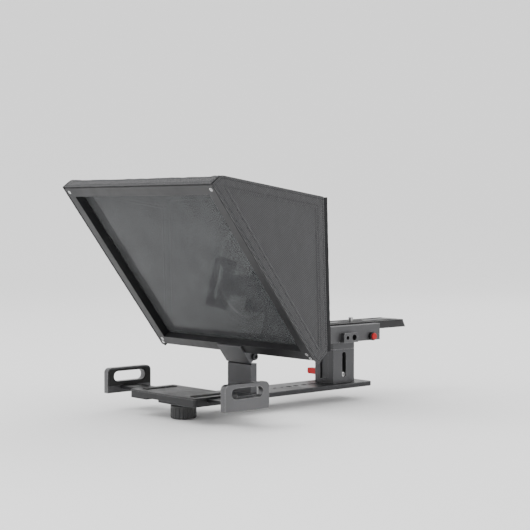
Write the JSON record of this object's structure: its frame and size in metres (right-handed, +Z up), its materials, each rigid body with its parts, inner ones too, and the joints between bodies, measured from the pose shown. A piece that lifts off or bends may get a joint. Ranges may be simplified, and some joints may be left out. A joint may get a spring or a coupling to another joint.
{
  "type": "teleprompter",
  "caption": "Tablet teleprompter: tilting beam-splitter mirror with cloth hood, camera riser and clamp-arm tablet holder on one base plate.",
  "frame": {"origin": "the 3/8 inch tripod thread on the underside of the base plate", "axes": "+X to the right of the speaker who faces the mirror, +Y from the speaker to the camera, +Z up"},
  "size_m": [0.289, 0.4328, 0.2843],
  "materials": {
    "base_anodised": "satin black-grey anodised",
    "post_anodised": "satin dark grey anodised",
    "frame_black": "fine matt black anodised",
    "platform_grey": "satin mid grey anodised",
    "clamp_grey": "satin grey anodised",
    "holder_black": "satin dark anodised",
    "red_anodised": "satin red anodised",
    "steel": "plain zinc-plated steel",
    "black_steel": "black oxide steel",
    "brass_insert": "turned brass",
    "glass": "half-silvered beam-splitter glass",
    "foam": "black foam strip",
    "hood_cloth": "charcoal twill",
    "black_cloth": "black cotton",
    "rubber_black": "matt black rubber",
    "plastic_black": "moulded black"
  },
  "bodies": {
    "root": {"base_plate": "base_anodised", "hinge_post": "post_anodised", "post_screws": "black_steel", "hinge_washers": "plastic_black", "riser_channel": "post_anodised", "channel_screws": "black_steel"},
    "mirror": {"mirror_bracket": "post_anodised", "bracket_screws": "black_steel", "hinge_bolt": "black_steel", "hinge_nut": "steel", "glass_gasket": "foam", "beam_splitter_glass": "glass", "glass_retainer": "frame_black", "frame_corner_plates": "black_steel", "frame_corner_screws": "steel", "frame_top_rail": "frame_black", "frame_bottom_rail": "frame_black", "frame_left_rail": "frame_black", "frame_right_rail": "frame_black", "hood_left_panel": "hood_cloth", "hood_right_panel": "hood_cloth", "hood_top_panel": "hood_cloth", "hood_back_panel": "black_cloth", "hood_lower_flaps": "hood_cloth", "lens_ring": "plastic_black", "lens_shroud": "black_cloth", "shroud_drawcord": "black_cloth", "cord_lock": "plastic_black"},
    "riser": {"riser_slider": "post_anodised", "platform_screws": "black_steel", "riser_lock_bolt": "steel", "camera_platform": "platform_grey", "safety_collar": "holder_black", "safety_spring": "steel"},
    "riser_lever": {"riser_lock_lever": "red_anodised"},
    "jaw": {"platform_jaw": "platform_grey"},
    "clamp": {"clamp_bolt": "steel", "clamp_lever": "red_anodised"},
    "button": {"safety_button": "red_anodised"},
    "plate": {"quick_release_plate": "holder_black", "plate_pads": "rubber_black"},
    "screw_carrier": {"camera_screw_washer": "steel"},
    "camera_screw": {"camera_screw": "steel"},
    "holder": {"holder_body": "holder_black", "holder_insert": "brass_insert", "holder_cover": "holder_black", "cover_screws": "black_steel", "holder_pads": "rubber_black"},
    "knob": {"holder_knob": "plastic_black", "knob_bolt": "steel", "knob_washer": "steel"},
    "right_clamp": {"right_arm": "holder_black", "right_clamp_plate": "clamp_grey", "right_clamp_pad": "rubber_black", "right_set_screws": "black_steel"},
    "left_clamp": {"left_arm": "holder_black", "left_clamp_plate": "clamp_grey", "left_clamp_pad": "rubber_black", "left_set_screws": "black_steel"}
  },
  "joints": [
    {"name": "mirror_tilt", "type": "hinge", "parent": "root", "child": "mirror", "pos_m": [0, -0.09, 0.0514], "axis": [1, 0, 0], "range_deg": [-20, 8]},
    {"name": "riser_lift", "type": "slide", "parent": "root", "child": "riser", "axis": [0, 0, 1], "range_m": [0, 0.026]},
    {"name": "riser_lock_turn", "type": "hinge", "parent": "riser", "child": "riser_lever", "pos_m": [-0.0175, 0.06935, 0.0166], "axis": [1, 0, 0], "range_deg": [0, 90]},
    {"name": "plate_slide", "type": "slide", "parent": "riser", "child": "plate", "axis": [0, 1, 0], "range_m": [-0.006, 0.02]},
    {"name": "clamp_lever_turn", "type": "hinge", "parent": "riser", "child": "clamp", "pos_m": [-0.034, 0.075, 0.069], "axis": [1, 0, 0], "range_deg": [0, 90]},
    {"name": "jaw_open", "type": "slide", "parent": "riser", "child": "jaw", "axis": [-1, 0, 0], "range_m": [0, 0.0015]},
    {"name": "safety_button_press", "type": "slide", "parent": "riser", "child": "button", "axis": [-1, 0, 0], "range_m": [0, 0.002], "stiffness_N_per_m": 600, "springref_m": -0.003, "deforming": ["safety_spring"]},
    {"name": "camera_screw_slide", "type": "slide", "parent": "plate", "child": "screw_carrier", "axis": [0, 1, 0], "range_m": [-0.01922, 0.01922]},
    {"name": "camera_screw_turn", "type": "hinge", "parent": "screw_carrier", "child": "camera_screw", "pos_m": [0, 0.099, 0.0835], "axis": [0, 0, 1], "continuous": true},
    {"name": "holder_slide", "type": "slide", "parent": "root", "child": "holder", "axis": [0, 1, 0], "range_m": [0, 0.05]},
    {"name": "holder_knob_turn", "type": "hinge", "parent": "holder", "child": "knob", "pos_m": [0, -0.182, 0], "axis": [0, 0, 1], "continuous": true},
    {"name": "right_clamp_slide", "type": "slide", "parent": "holder", "child": "right_clamp", "axis": [1, 0, 0], "range_m": [-0.026, 0.017]},
    {"name": "left_clamp_slide", "type": "slide", "parent": "holder", "child": "left_clamp", "axis": [-1, 0, 0], "range_m": [-0.026, 0.017]}
  ],
  "couplings": [
    {"joint": "clamp_lever_turn", "follows": "jaw_open", "rad_per_m": 1047.2}
  ]
}
